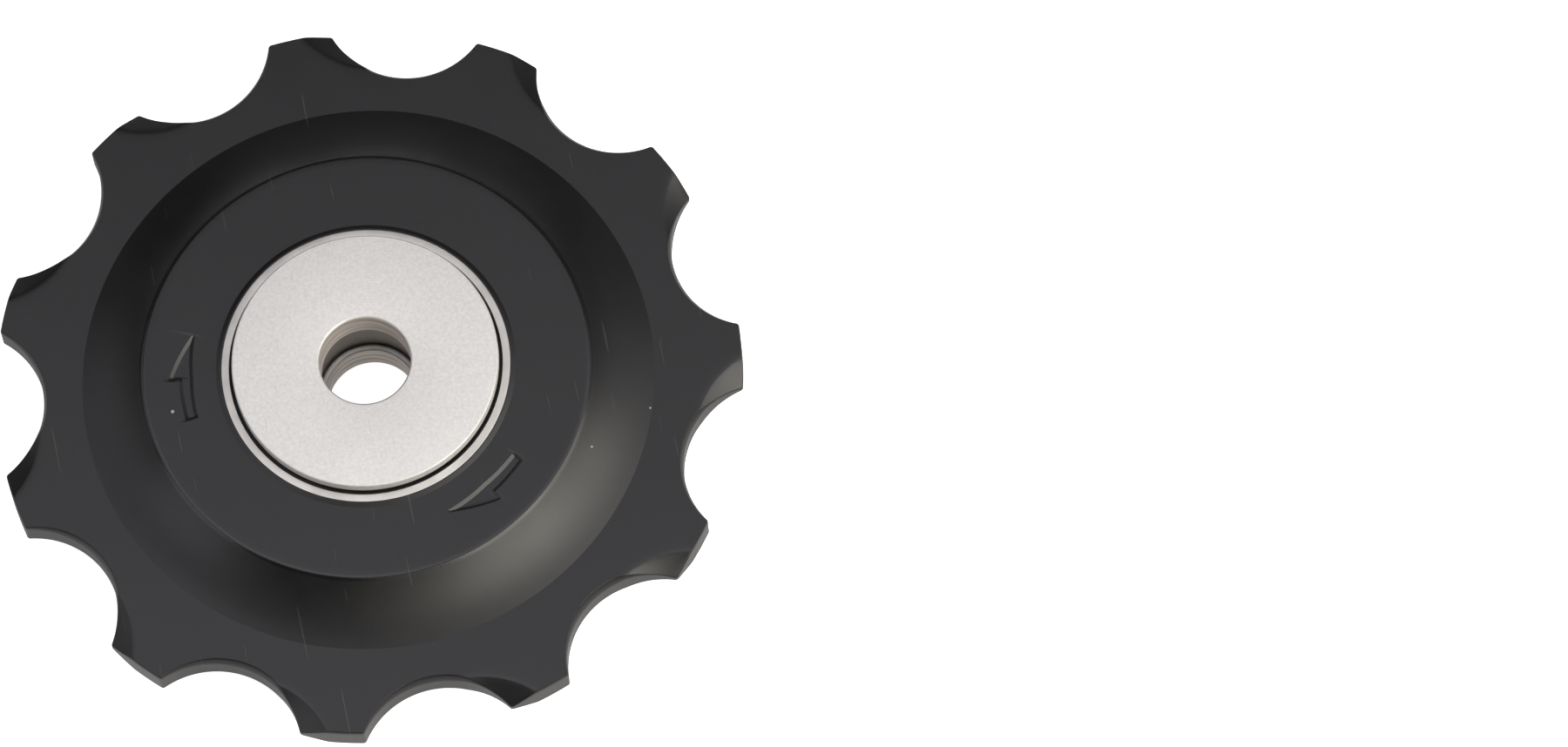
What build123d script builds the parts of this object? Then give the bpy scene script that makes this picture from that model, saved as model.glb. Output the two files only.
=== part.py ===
from build123d import *
import os
from math import acos, asin, cos, degrees, pi, radians, sin, sqrt

# Derailleur jockey wheel, in millimetres.
# A toothed plastic wheel is moulded round the outer ring of a sealed ball bearing.
# Two turned caps clamp the inner ring between them, and the axle bolt goes through their bore.
# The wheel turns about Z, the middle of the teeth is Z = 0, and one tooth points along +Y.

# Chain and teeth
CHAIN_PITCH = 12.7
ROLLER_DIAMETER = 7.75
TOOTH_COUNT = 11
TOOTH_HEIGHT = 2.77
TOOTH_THICKNESS = 1.8
VALLEY_RADIUS = 5.0
TIP_ROUND = 0.2
BEVEL_WIDTH = 1.65
BEVEL_LENGTH = 3.3
BEVEL_DEPTH = 0.75
BEVEL_RADIUS = 6.0

# Hub of the moulded wheel, and the slope that runs from it down to the web
HUB_WALL = 4.3
HUB_ROUND = 0.18
SLOPE_WIDTH = 3.6
LIP_HEIGHT = 0.1
LIP_LAND = 0.07
LIP_SLOPE = 0.25

# Bearing rings
BEARING_BORE = 6.0
BEARING_DIAMETER = 17.0
BEARING_WIDTH = 6.0
RING_CHAMFER = 0.25
BORE_CHAMFER = 0.2
LAND_WALL = 0.75
LAND_CHAMFER = 0.08
SHOULDER_DEPTH = 0.55
SEAL_TRACK_STEP = 0.25
TRACK_CHAMFER = 0.12

# Balls and their pressed cage
BALL_DIAMETER = 2.778
BALL_COUNT = 8
RACE_RADIUS_RATIO = 0.52
CAGE_WIDTH = 1.1
CAGE_SHEET = 0.2
RIVET_DIAMETER = 0.44
RIVET_HEAD_DIAMETER = 0.8
RIVET_HEAD_HEIGHT = 0.12

# Seals
SEAL_INSET = 0.3
SEAL_THICKNESS = 0.36
SEAL_SNAP_DEPTH = 0.2
SEAL_RIM_WIDTH = 0.4
SEAL_WEB_THICKNESS = 0.24
SEAL_LIP_LENGTH = 0.35
SEAL_LIP_THICKNESS = 0.1

# Caps
AXLE_BORE = 5.2
CAP_THICKNESS = 0.7
CAP_EDGE_ROUND = 0.1
CAP_BORE_CHAMFER = 0.1
BOSS_HEIGHT = 0.1
SPIGOT_LENGTH = 1.4
SPIGOT_CHAMFER = 0.12

# Clearances
SEAT_CLEARANCE = 0.01
BALL_CLEARANCE = 0.02
POCKET_CLEARANCE = 0.06
LIP_CLEARANCE = 0.04
CAP_CLEARANCE = 0.12

# Radii and heights that follow from the sizes above
PITCH_RADIUS = CHAIN_PITCH / 2 / sin(pi / TOOTH_COUNT)
ROOT_RADIUS = PITCH_RADIUS - ROLLER_DIAMETER / 2
TIP_RADIUS = ROOT_RADIUS + TOOTH_HEIGHT
VALLEY_CENTRE = ROOT_RADIUS + VALLEY_RADIUS
TOOTH_TOP = TOOTH_THICKNESS / 2
TOOTH_ANGLE = 360 / TOOTH_COUNT

BEARING_RADIUS = BEARING_DIAMETER / 2
BEARING_FACE = BEARING_WIDTH / 2
HUB_RADIUS = BEARING_RADIUS + HUB_WALL
HUB_FACE = BEARING_FACE - LIP_HEIGHT

BALL_RADIUS = BALL_DIAMETER / 2
BALL_CIRCLE = (BEARING_DIAMETER + BEARING_BORE) / 4
RACE_RADIUS = BALL_DIAMETER * RACE_RADIUS_RATIO
POCKET_RADIUS = BALL_RADIUS + POCKET_CLEARANCE
OUTER_RACE = BALL_CIRCLE + BALL_RADIUS + BALL_CLEARANCE
INNER_RACE = BALL_CIRCLE - BALL_RADIUS - BALL_CLEARANCE
OUTER_SHOULDER = OUTER_RACE - SHOULDER_DEPTH
INNER_SHOULDER = INNER_RACE + SHOULDER_DEPTH
RACE_HALF_WIDTH = sqrt(RACE_RADIUS**2 - (RACE_RADIUS - SHOULDER_DEPTH) ** 2)

LAND_RADIUS = BEARING_RADIUS - LAND_WALL
SNAP_RADIUS = LAND_RADIUS + SEAL_SNAP_DEPTH
SEAL_TOP = BEARING_FACE - SEAL_INSET
SEAL_BASE = SEAL_TOP - SEAL_THICKNESS
TRACK_RADIUS = INNER_SHOULDER - SEAL_TRACK_STEP

CAP_RADIUS = LAND_RADIUS - CAP_CLEARANCE
CAP_UNDERSIDE = BEARING_FACE + BOSS_HEIGHT
CAP_TOP = CAP_UNDERSIDE + CAP_THICKNESS
BOSS_RADIUS = TRACK_RADIUS - TRACK_CHAMFER
SPIGOT_RADIUS = BEARING_BORE / 2 - SEAT_CLEARANCE
AXLE_RADIUS = AXLE_BORE / 2


def polar(radius, angle):
    """Point in the tooth plane at a radius and an angle in degrees, counter-clockwise from +X."""
    return Vector(radius * cos(radians(angle)), radius * sin(radians(angle)))


def mirrored(points):
    """Points of an outline's upper half, then the same points below the tooth plane."""
    return points + [(radius, -height) for radius, height in reversed(points)]


def turned(outline):
    """Solid turned about Z from a closed outline drawn as radius and height."""
    return revolve(Plane.XZ * make_face(outline), Axis.Z)


def ball_places():
    """Places of the balls on their circle, the first on +Y."""
    return PolarLocations(BALL_CIRCLE, BALL_COUNT, start_angle=90)


def wheel_blank():
    """Wheel before its teeth are cut: hub with lips over the ring, a slope, and a flat disc."""
    pocket_radius = BEARING_RADIUS + SEAT_CLEARANCE
    lip_tip = pocket_radius - RING_CHAMFER
    corners = mirrored(
        [
            (pocket_radius, BEARING_FACE - RING_CHAMFER),
            (lip_tip, BEARING_FACE),
            (lip_tip + LIP_LAND, BEARING_FACE),
            (lip_tip + LIP_LAND + LIP_SLOPE, HUB_FACE),
            (HUB_RADIUS, HUB_FACE),
            (HUB_RADIUS + SLOPE_WIDTH, TOOTH_TOP),
            (TIP_RADIUS, TOOTH_TOP),
        ]
    )
    rounds = [HUB_ROUND if radius == HUB_RADIUS else 0 for radius, height in corners]
    return turned(FilletPolyline(corners, radius=rounds, close=True))


def wheel_disc():
    """Wheel with a round valley for each roller of the chain, and rounded corners on the tooth tips."""
    valley = Cylinder(VALLEY_RADIUS, BEARING_WIDTH)
    valleys = [
        place * valley
        for place in PolarLocations(VALLEY_CENTRE, TOOTH_COUNT, start_angle=90 + TOOTH_ANGLE / 2)
    ]
    disc = wheel_blank() - valleys
    corners = [
        edge
        for edge in disc.edges().filter_by(Axis.Z)
        if edge.center().length > ROOT_RADIUS
    ]
    return fillet(corners, TIP_ROUND)


def bevel_cutter():
    """Half cone that slopes the clockwise flank of the tooth on +Y, on its upper face.

    Its edge on the face is an arc from the flank to the tip, and it lowers the tip's corner.
    """
    cosine = (TIP_RADIUS**2 + VALLEY_CENTRE**2 - VALLEY_RADIUS**2) / (2 * TIP_RADIUS * VALLEY_CENTRE)
    corner_angle = 90 - TOOTH_ANGLE / 2 + degrees(acos(cosine))
    corner = polar(TIP_RADIUS, corner_angle)
    on_tip = polar(TIP_RADIUS, corner_angle + degrees(BEVEL_WIDTH / TIP_RADIUS))
    valley = polar(VALLEY_CENTRE, 90 - TOOTH_ANGLE / 2)
    flank_angle = 2 * degrees(asin(BEVEL_LENGTH / 2 / VALLEY_RADIUS))
    on_flank = valley + (corner - valley).rotate(Axis.Z, flank_angle)
    chord = on_tip - on_flank
    aside = chord.cross(Vector(0, 0, 1)).normalized()
    centre = on_flank + chord / 2 + aside * sqrt(BEVEL_RADIUS**2 - (chord.length / 2) ** 2)
    reach = BEVEL_RADIUS - (corner - centre).length
    half_cone = Cone(
        BEVEL_RADIUS - 1.5 * reach,
        BEVEL_RADIUS + reach,
        2.5 * BEVEL_DEPTH,
        arc_size=180,
        align=None,
    )
    base = centre + Vector(0, 0, TOOTH_TOP - 1.5 * BEVEL_DEPTH)
    return Plane(base, x_dir=chord, z_dir=(0, 0, 1)) * half_cone


def make_toothed_wheel():
    """Moulded wheel, with a bevel on both faces of each tooth's leading flank."""
    upper_bevel = bevel_cutter()
    lower_bevel = mirror(upper_bevel, about=Plane.XY)
    bevels = [
        turn * bevel
        for turn in PolarLocations(0, TOOTH_COUNT)
        for bevel in (upper_bevel, lower_bevel)
    ]
    return wheel_disc() - bevels


def make_outer_ring():
    """Outer ring: ball race, shoulders, a groove for each seal and chamfered edges."""
    points = mirrored(
        [
            (OUTER_SHOULDER, RACE_HALF_WIDTH),
            (OUTER_SHOULDER, SEAL_BASE),
            (SNAP_RADIUS, SEAL_BASE),
            (SNAP_RADIUS, SEAL_TOP),
            (LAND_RADIUS, SEAL_TOP),
            (LAND_RADIUS, BEARING_FACE - LAND_CHAMFER),
            (LAND_RADIUS + LAND_CHAMFER, BEARING_FACE),
            (BEARING_RADIUS - RING_CHAMFER, BEARING_FACE),
            (BEARING_RADIUS, BEARING_FACE - RING_CHAMFER),
        ]
    )
    return turned(Polyline(points) + ThreePointArc(points[-1], (OUTER_RACE, 0), points[0]))


def make_inner_ring():
    """Inner ring: ball race, shoulders, and a lower track under each seal's lip."""
    points = mirrored(
        [
            (INNER_SHOULDER, RACE_HALF_WIDTH),
            (INNER_SHOULDER, SEAL_BASE - LIP_CLEARANCE),
            (TRACK_RADIUS, SEAL_BASE - LIP_CLEARANCE),
            (TRACK_RADIUS, BEARING_FACE - TRACK_CHAMFER),
            (BOSS_RADIUS, BEARING_FACE),
            (BEARING_BORE / 2 + BORE_CHAMFER, BEARING_FACE),
            (BEARING_BORE / 2, BEARING_FACE - BORE_CHAMFER),
        ]
    )
    return turned(Polyline(points) + ThreePointArc(points[-1], (INNER_RACE, 0), points[0]))


def make_seal():
    """Upper seal: a thick rim in the ring's groove, a thin web, and a lip that tapers to the track."""
    rim = SNAP_RADIUS - SEAT_CLEARANCE
    rim_inside = rim - SEAL_RIM_WIDTH
    lip = TRACK_RADIUS + LIP_CLEARANCE
    top = SEAL_TOP - SEAT_CLEARANCE
    base = SEAL_BASE + SEAT_CLEARANCE
    web_top = (top + base + SEAL_WEB_THICKNESS) / 2
    web_base = web_top - SEAL_WEB_THICKNESS
    lip_top = (top + base + SEAL_LIP_THICKNESS) / 2
    return turned(
        Polyline(
            (rim, base),
            (rim, top),
            (rim_inside, top),
            (rim_inside, web_top),
            (lip + SEAL_LIP_LENGTH, web_top),
            (lip, lip_top),
            (lip, lip_top - SEAL_LIP_THICKNESS),
            (lip + SEAL_LIP_LENGTH, web_base),
            (rim_inside, web_base),
            (rim_inside, base),
            close=True,
        )
    )


def make_ball(place):
    """Ball on its circle."""
    return place * Sphere(BALL_RADIUS)


def ring_plate(thickness):
    """Flat ring of the cage's width, standing on the tooth plane."""
    inner = BALL_CIRCLE - CAGE_WIDTH / 2
    outer = BALL_CIRCLE + CAGE_WIDTH / 2
    return extrude(Circle(outer) - Circle(inner), thickness)


def rivet_places():
    """Places of the rivets, midway between the balls."""
    return PolarLocations(BALL_CIRCLE, BALL_COUNT, start_angle=90 + 180 / BALL_COUNT)


def make_cage_half():
    """Upper half of the pressed cage: a flat ribbon that bulges in a half round over each ball."""
    lengthwise = Rot(0, 90, 0)
    bulge = lengthwise * Cylinder(POCKET_RADIUS + CAGE_SHEET, BALL_DIAMETER)
    pocket = lengthwise * Cylinder(POCKET_RADIUS, BALL_DIAMETER)
    bulges = Part() + [place * bulge for place in ball_places()]
    ribbon = ring_plate(CAGE_SHEET) + (ring_plate(POCKET_RADIUS + CAGE_SHEET) & bulges)
    hole = Cylinder(RIVET_DIAMETER / 2 + SEAT_CLEARANCE, 4 * CAGE_SHEET)
    pockets = [place * pocket for place in ball_places()]
    return ribbon - pockets - [place * hole for place in rivet_places()]


def make_cage_rivets():
    """Rivets through both halves of the cage, with a flat head on each side."""
    head_middle = CAGE_SHEET + RIVET_HEAD_HEIGHT / 2
    head = Cylinder(RIVET_HEAD_DIAMETER / 2, RIVET_HEAD_HEIGHT)
    shank = Cylinder(RIVET_DIAMETER / 2, 2 * CAGE_SHEET)
    rivet = shank + Pos(0, 0, head_middle) * head + Pos(0, 0, -head_middle) * head
    return Compound([place * rivet for place in rivet_places()])


def make_cap():
    """Upper cap: disc over the seal, low boss on the inner ring's face, spigot in the ring and axle bore."""
    chamfer = min(SPIGOT_CHAMFER, (SPIGOT_RADIUS - AXLE_RADIUS) / 3)
    spigot_end = BEARING_FACE - SPIGOT_LENGTH
    corners = [
        (AXLE_RADIUS, spigot_end + chamfer),
        (AXLE_RADIUS + chamfer, spigot_end),
        (SPIGOT_RADIUS - chamfer, spigot_end),
        (SPIGOT_RADIUS, spigot_end + chamfer),
        (SPIGOT_RADIUS, BEARING_FACE),
        (BOSS_RADIUS, BEARING_FACE),
        (BOSS_RADIUS, CAP_UNDERSIDE),
        (CAP_RADIUS, CAP_UNDERSIDE),
        (CAP_RADIUS, CAP_TOP),
        (AXLE_RADIUS + CAP_BORE_CHAMFER, CAP_TOP),
        (AXLE_RADIUS, CAP_TOP - CAP_BORE_CHAMFER),
    ]
    rounds = [CAP_EDGE_ROUND if corner == (CAP_RADIUS, CAP_TOP) else 0 for corner in corners]
    return turned(FilletPolyline(corners, radius=rounds, close=True))


seal = make_seal()
cap = make_cap()
cage_half = make_cage_half()
nodes = {
    "toothed_wheel": make_toothed_wheel(),
    "bearing_outer_ring": make_outer_ring(),
    "bearing_inner_ring": make_inner_ring(),
    "upper_seal": seal,
    "lower_seal": mirror(seal, about=Plane.XY),
    "cage_upper_half": cage_half,
    "cage_lower_half": mirror(cage_half, about=Plane.XY),
    "cage_rivets": make_cage_rivets(),
    "upper_cap": cap,
    "lower_cap": mirror(cap, about=Plane.XY),
}
for number, place in enumerate(ball_places(), start=1):
    nodes[f"ball_{number}"] = make_ball(place)

os.makedirs("parts", exist_ok=True)
for name, solid in nodes.items():
    export_step(solid, f"parts/{name}.step")
    print(f"{name}: {solid.volume:.2f} mm3")
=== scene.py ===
# %% [markdown]
# # A jockey wheel on a white table
#
# This lesson dresses a small chain pulley, the wheel that keeps a bicycle chain tight. It is a black
# moulded wheel with eleven bevelled teeth, turning on a sealed ball bearing between two turned metal caps.
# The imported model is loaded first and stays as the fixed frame. Its balls and cage only get a finish, and
# every other piece is made again from the same sizes, with the fine edges of the real one. Sizes are
# in millimetres, and become metres where a mesh or a material needs them.

import bpy
import numpy as np
from mathutils import Matrix, Vector


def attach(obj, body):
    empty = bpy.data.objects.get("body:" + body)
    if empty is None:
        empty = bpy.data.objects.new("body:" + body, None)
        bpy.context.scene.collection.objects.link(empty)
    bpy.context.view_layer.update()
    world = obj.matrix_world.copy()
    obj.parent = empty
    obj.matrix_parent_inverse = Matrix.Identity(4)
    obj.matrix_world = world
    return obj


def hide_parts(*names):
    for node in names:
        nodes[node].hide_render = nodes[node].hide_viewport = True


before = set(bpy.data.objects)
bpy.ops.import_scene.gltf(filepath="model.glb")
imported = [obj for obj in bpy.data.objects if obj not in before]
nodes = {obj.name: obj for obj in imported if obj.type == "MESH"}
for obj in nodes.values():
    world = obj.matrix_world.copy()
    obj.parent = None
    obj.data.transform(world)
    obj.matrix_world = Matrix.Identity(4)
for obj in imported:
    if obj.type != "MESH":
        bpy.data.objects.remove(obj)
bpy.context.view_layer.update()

MM = 0.001

# %% [markdown]
# ## The camera
#
# The picture was taken from above with a long lens, about twenty degrees off the axle. A camera can be
# aimed by eye, but this one was fitted to the outline of the teeth, whose size follows from the chain.
# Its place and axes are written with the picture's right and up as x and y, and then turned so that one
# tooth points along +Y.

# %% Camera
PICTURE_TURN = 11.8
CAMERA_PLACE = np.array([45.84, -218.71, 601.98])
CAMERA_RIGHT = np.array([0.99939, 0.00607, -0.03443])
CAMERA_UP = np.array([0.00607, 0.93973, 0.34186])
LENS = 257.08
SENSOR_WIDTH = 36.0
NEAREST = 10.0
FARTHEST = 20000.0

turn_back = np.array(Matrix.Rotation(np.radians(-PICTURE_TURN), 3, "Z"))
camera_axes = turn_back @ np.stack([CAMERA_RIGHT, CAMERA_UP, np.cross(CAMERA_RIGHT, CAMERA_UP)], axis=-1)
camera_pose = Matrix(camera_axes.tolist()).to_4x4()
camera_pose.translation = (turn_back @ CAMERA_PLACE * MM).tolist()

camera = bpy.data.objects.new("camera", bpy.data.cameras.new("camera"))
camera.data.lens = LENS
camera.data.sensor_width = SENSOR_WIDTH
camera.data.sensor_fit = "HORIZONTAL"
camera.data.clip_start = NEAREST * MM
camera.data.clip_end = FARTHEST * MM
camera.matrix_world = camera_pose
bpy.context.scene.collection.objects.link(camera)
bpy.context.scene.camera = camera
print("camera at", [round(v, 4) for v in camera_pose.translation])

# %% [markdown]
# ## The outline of the teeth
#
# The wheel takes a half-inch chain. Each valley is a round that a chain roller drops into, and the tips
# lie on one circle with small rounds at their corners. The valleys could be cut out of a disc with
# booleans, but that leaves a ragged mesh. So half a tooth is drawn as three arcs, mirrored, and repeated
# eleven times. Each point also gets the outline's normal there, so that the edge can be softened squarely.


# %% Angles and arcs
def direction(degrees):
    """Unit vectors in the tooth plane, counter-clockwise from +X."""
    angle = np.radians(degrees)
    return np.stack([np.cos(angle), np.sin(angle)], axis=-1)


def turned_left(vectors, degrees):
    """Plane vectors turned counter-clockwise by an angle for each."""
    angle = np.radians(degrees)
    x, y = vectors[..., 0], vectors[..., 1]
    return np.stack([x * np.cos(angle) - y * np.sin(angle), x * np.sin(angle) + y * np.cos(angle)], axis=-1)


def along_arc(centre, start, end, count):
    """Points of an arc from start to end, the short way round, with both ends."""
    arms = np.array([start, end]) - centre
    angles = np.unwrap(np.arctan2(arms[:, 1], arms[:, 0]))
    sweep = np.linspace(angles[0], angles[1], count)
    radius = np.hypot(*arms[0])
    return centre + radius * np.stack([np.cos(sweep), np.sin(sweep)], axis=-1)


def apex_angle(opposite, side, other_side):
    """Angle in degrees between two sides of a triangle, from its three lengths."""
    return np.degrees(np.arccos((side**2 + other_side**2 - opposite**2) / (2 * side * other_side)))


# %% Tooth outline
CHAIN_PITCH = 12.7
ROLLER_DIAMETER = 7.75
TOOTH_COUNT = 11
TOOTH_HEIGHT = 2.77
VALLEY_RADIUS = 5.0
TIP_ROUND = 0.2
FLANK_POINTS = 24
CORNER_POINTS = 6
TIP_POINTS = 9

TOOTH_ANGLE = 360 / TOOTH_COUNT
ROOT_RADIUS = CHAIN_PITCH / 2 / np.sin(np.pi / TOOTH_COUNT) - ROLLER_DIAMETER / 2
TIP_RADIUS = ROOT_RADIUS + TOOTH_HEIGHT
VALLEY_CENTRE = ROOT_RADIUS + VALLEY_RADIUS

valley_angle = 90 - TOOTH_ANGLE / 2
valley = VALLEY_CENTRE * direction(valley_angle)


def half_tooth():
    """Points and normals from the bottom of the valley, up the leading flank, to the middle of the tip."""
    round_angle = valley_angle + apex_angle(VALLEY_RADIUS + TIP_ROUND, VALLEY_CENTRE, TIP_RADIUS - TIP_ROUND)
    round_centre = (TIP_RADIUS - TIP_ROUND) * direction(round_angle)
    bottom = ROOT_RADIUS * direction(valley_angle)
    on_flank = valley + (round_centre - valley) * VALLEY_RADIUS / (VALLEY_RADIUS + TIP_ROUND)
    on_tip = TIP_RADIUS * direction(round_angle)
    flank = along_arc(valley, bottom, on_flank, FLANK_POINTS)
    corner = along_arc(round_centre, on_flank, on_tip, CORNER_POINTS)[1:]
    tip = along_arc(np.zeros(2), on_tip, TIP_RADIUS * direction(90.0), TIP_POINTS)[1:]
    normals = [(valley - flank) / VALLEY_RADIUS, (corner - round_centre) / TIP_ROUND, tip / TIP_RADIUS]
    return np.concatenate([flank, corner, tip]), np.concatenate(normals)


half_points, half_normals = half_tooth()
flip = np.array([-1.0, 1.0])
tooth_points = np.concatenate([half_points, half_points[-2:0:-1] * flip])
tooth_normals = np.concatenate([half_normals, half_normals[-2:0:-1] * flip])
tooth_turns = np.repeat(np.arange(TOOTH_COUNT) * TOOTH_ANGLE, len(tooth_points))
outline = turned_left(np.tile(tooth_points, (TOOTH_COUNT, 1)), tooth_turns)
outline_normals = turned_left(np.tile(tooth_normals, (TOOTH_COUNT, 1)), tooth_turns)
print("outline points:", len(outline), "tip circle:", round(float(np.hypot(*outline.T).max()), 3))

# %% [markdown]
# ## The direction arrows
#
# Two half arrows are sunk in the hub band and show which way the wheel runs. A bump texture could draw
# them, but then the mesh itself would not have them. Rolled out flat, with the way past the point as one
# axis and the radius as the other, an arrow is a polygon: point, barb, corner, tail and back along a
# nearly straight edge. Its walls slope, so the depth at a place is a ramp of the distance to that polygon.

# %% Arrow outline
ARROW_POINTS_AT = np.array([157.6, 287.7])
ARROW_MIDDLE = 10.3
ARROW_OUTLINE = np.array([(0.0, 10.1), (2.62, 11.2), (2.62, 10.62), (5.05, 10.62), (5.05, 10.1), (2.6, 9.99)])
ARROW_DEPTH = 0.14
ARROW_WALL = 0.2

half_wall = ARROW_WALL / 2


def inside_distance(places, corners):
    """Distance of places to a polygon's outline, positive inside it.

    For each side it is |w - clamp(w.e / e.e, 0, 1) e|, and a ray to the right counts the sides it crosses.
    """
    ends = np.roll(corners, -1, axis=0)
    sides = ends - corners
    w = places[..., None, :] - corners
    share = np.clip((w * sides).sum(axis=-1) / (sides**2).sum(axis=-1), 0.0, 1.0)
    distance = np.linalg.norm(w - share[..., None] * sides, axis=-1).min(axis=-1)
    y = places[..., None, 1]
    spans = (corners[:, 1] > y) != (ends[:, 1] > y)
    rise = np.where(sides[:, 1] == 0, 1.0, sides[:, 1])
    meets = corners[:, 0] + (y - corners[:, 1]) * sides[:, 0] / rise
    inside = (spans & (places[..., None, 0] < meets)).sum(axis=-1) % 2 == 1
    return np.where(inside, distance, -distance)


print("arrow in mm, long and wide:", np.ptp(ARROW_OUTLINE, axis=0).round(2).tolist())

# %% [markdown]
# ## The columns of the grid
#
# The wheel will be one grid of points: its columns stand round the axle, and its rows run from the
# bearing to the teeth. There is a column for every point of the outline, and there are more where an
# arrow's wall begins and ends, so that both stay crisp. The angles are read a little inside the outline,
# where they stay apart even on the steep corner of a tip.

# %% Columns of the wheel's grid
COLUMN_INSET = 0.18
WALL_ROOM = 2.0
HEAD_ROOM = 2.2
HEAD_COLUMNS = 12
SHAFT_COLUMNS = 9

barb_at, tail_at = ARROW_OUTLINE[1, 0], ARROW_OUTLINE[3, 0]
wall_steps = half_wall * np.array([-1.0, 0.0, 1.0])
wall_room = WALL_ROOM * half_wall
arrow_stations = np.concatenate(
    [
        [-wall_room],
        wall_steps,
        np.linspace(HEAD_ROOM * half_wall, barb_at - wall_room, HEAD_COLUMNS),
        barb_at + wall_steps,
        np.linspace(barb_at + wall_room, tail_at - wall_room, SHAFT_COLUMNS),
        tail_at + wall_steps,
    ]
)
inset = outline - COLUMN_INSET * outline_normals
outline_angles = np.degrees(np.unwrap(np.arctan2(inset[:, 1], inset[:, 0])))
arrow_angles = (ARROW_POINTS_AT[:, None] + np.degrees(arrow_stations / ARROW_MIDDLE)).ravel()
arrow_angles = (arrow_angles - outline_angles[0]) % 360 + outline_angles[0]
column_angles = np.sort(np.concatenate([outline_angles, arrow_angles]))
column_direction = direction(column_angles)


def at_columns(values):
    """Values given at the outline's points, read at every column by straight interpolation in the angle."""
    wrapped_angles = np.append(outline_angles, outline_angles[0] + 360)
    wrapped = np.concatenate([values, values[:1]])
    parts = [np.interp(column_angles, wrapped_angles, wrapped[:, axis]) for axis in range(values.shape[1])]
    return np.stack(parts, axis=-1)


edge = at_columns(outline)
edge_normals = at_columns(outline_normals)
print("columns of the wheel:", len(column_angles), "of them for the arrows:", len(arrow_angles))

# %% [markdown]
# ## The bevelled flanks
#
# The leading flank of each tooth is bevelled on both faces, so that the chain slips on sideways. The bevel
# is part of a cone: its edge on the face is an arc from the flank to the tip, and it is deepest at the
# corner of the tip. A boolean cut would leave a hard crease. Here the height of the face is a formula:
# the flat face less a smooth maximum of zero and the cone's depth, which gives the soft crease of a moulding.

# %% Bevel
TOOTH_THICKNESS = 1.8
BEVEL_WIDTH = 1.65
BEVEL_LENGTH = 3.3
BEVEL_DEPTH = 0.75
BEVEL_RADIUS = 6.0
CREASE_SOFTNESS = 0.025
CREASE_REACH = 0.1

TOOTH_TOP = TOOTH_THICKNESS / 2

corner_angle = valley_angle + apex_angle(VALLEY_RADIUS, VALLEY_CENTRE, TIP_RADIUS)
bevel_corner = TIP_RADIUS * direction(corner_angle)
bevel_on_tip = TIP_RADIUS * direction(corner_angle + np.degrees(BEVEL_WIDTH / TIP_RADIUS))
flank_sweep = 2 * np.degrees(np.arcsin(BEVEL_LENGTH / 2 / VALLEY_RADIUS))
bevel_on_flank = valley + turned_left(bevel_corner - valley, flank_sweep)
bevel_chord = bevel_on_tip - bevel_on_flank
chord_length = np.hypot(*bevel_chord)
aside = np.array([bevel_chord[1], -bevel_chord[0]]) / chord_length
to_centre = np.sqrt(BEVEL_RADIUS**2 - (chord_length / 2) ** 2)
bevel_centre = (bevel_on_tip + bevel_on_flank) / 2 + aside * to_centre
bevel_slope = BEVEL_DEPTH / (BEVEL_RADIUS - np.hypot(*(bevel_corner - bevel_centre)))


def on_one_tooth(points):
    """Points turned back to the tooth on +Y, whichever tooth they are on."""
    degrees = np.degrees(np.arctan2(points[..., 1], points[..., 0]))
    teeth = np.round((degrees - 90) / TOOTH_ANGLE)
    return turned_left(points, -teeth * TOOTH_ANGLE)


def face_height(points):
    """Height of the upper face: flat, less (d + sqrt(d^2 + s^2)) / 2 at a cone depth d and a softness s."""
    local = on_one_tooth(points)
    depth = bevel_slope * (BEVEL_RADIUS - np.linalg.norm(local - bevel_centre, axis=-1))
    on_leading_side = local @ aside > bevel_on_flank @ aside - BEVEL_LENGTH
    past_the_start = local @ bevel_chord > bevel_on_flank @ bevel_chord
    near = on_leading_side & past_the_start & (depth > -CREASE_REACH)
    soft = 0.5 * (depth + np.hypot(depth, CREASE_SOFTNESS))
    return TOOTH_TOP - np.where(near, soft, 0.0)


print("bevel slope in degrees:", round(float(np.degrees(np.arctan(bevel_slope))), 1))

# %% [markdown]
# ## The section of the hub
#
# From the bearing outwards the section is a low lip over the ring, the flat hub band, a round rim and a
# slightly hollow slope down to the web. A Screw modifier could turn it, but the arrows and the teeth
# differ from column to column, so each stretch becomes rows of the same grid. The hollow is a parabola
# that leaves the rim in the rim's own direction and ends at the foot of the slope.

# %% Hub and slope section
BEARING_DIAMETER = 17.0
BEARING_WIDTH = 6.0
RING_CHAMFER = 0.25
SEAT_CLEARANCE = 0.01
LIP_HEIGHT = 0.1
LIP_LAND = 0.07
LIP_SLOPE = 0.25
HUB_WALL = 4.3
HUB_ROUND = 0.3
RIM_ROWS = 6
SLOPE_WIDTH = 3.6
SLOPE_TOP_ANGLE = 38.0
SLOPE_ROWS = 12
BAND_INSIDE_ARROWS = [8.75, 9.3]
BAND_OUTSIDE_ARROWS = [11.7, 12.3]

BEARING_RADIUS = BEARING_DIAMETER / 2
BEARING_FACE = BEARING_WIDTH / 2
POCKET_RADIUS = BEARING_RADIUS + SEAT_CLEARANCE
LIP_RADIUS = POCKET_RADIUS - RING_CHAMFER
HUB_RADIUS = BEARING_RADIUS + HUB_WALL
HUB_FACE = BEARING_FACE - LIP_HEIGHT

lip_rows = [
    (POCKET_RADIUS, 0.0),
    (POCKET_RADIUS, BEARING_FACE - RING_CHAMFER),
    (LIP_RADIUS, BEARING_FACE),
    (LIP_RADIUS + LIP_LAND, BEARING_FACE),
    (LIP_RADIUS + LIP_LAND + LIP_SLOPE, HUB_FACE),
]
inner_rows = np.array(lip_rows + [(radius, HUB_FACE) for radius in BAND_INSIDE_ARROWS])
band_rows = np.array([(radius, HUB_FACE) for radius in BAND_OUTSIDE_ARROWS])

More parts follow.
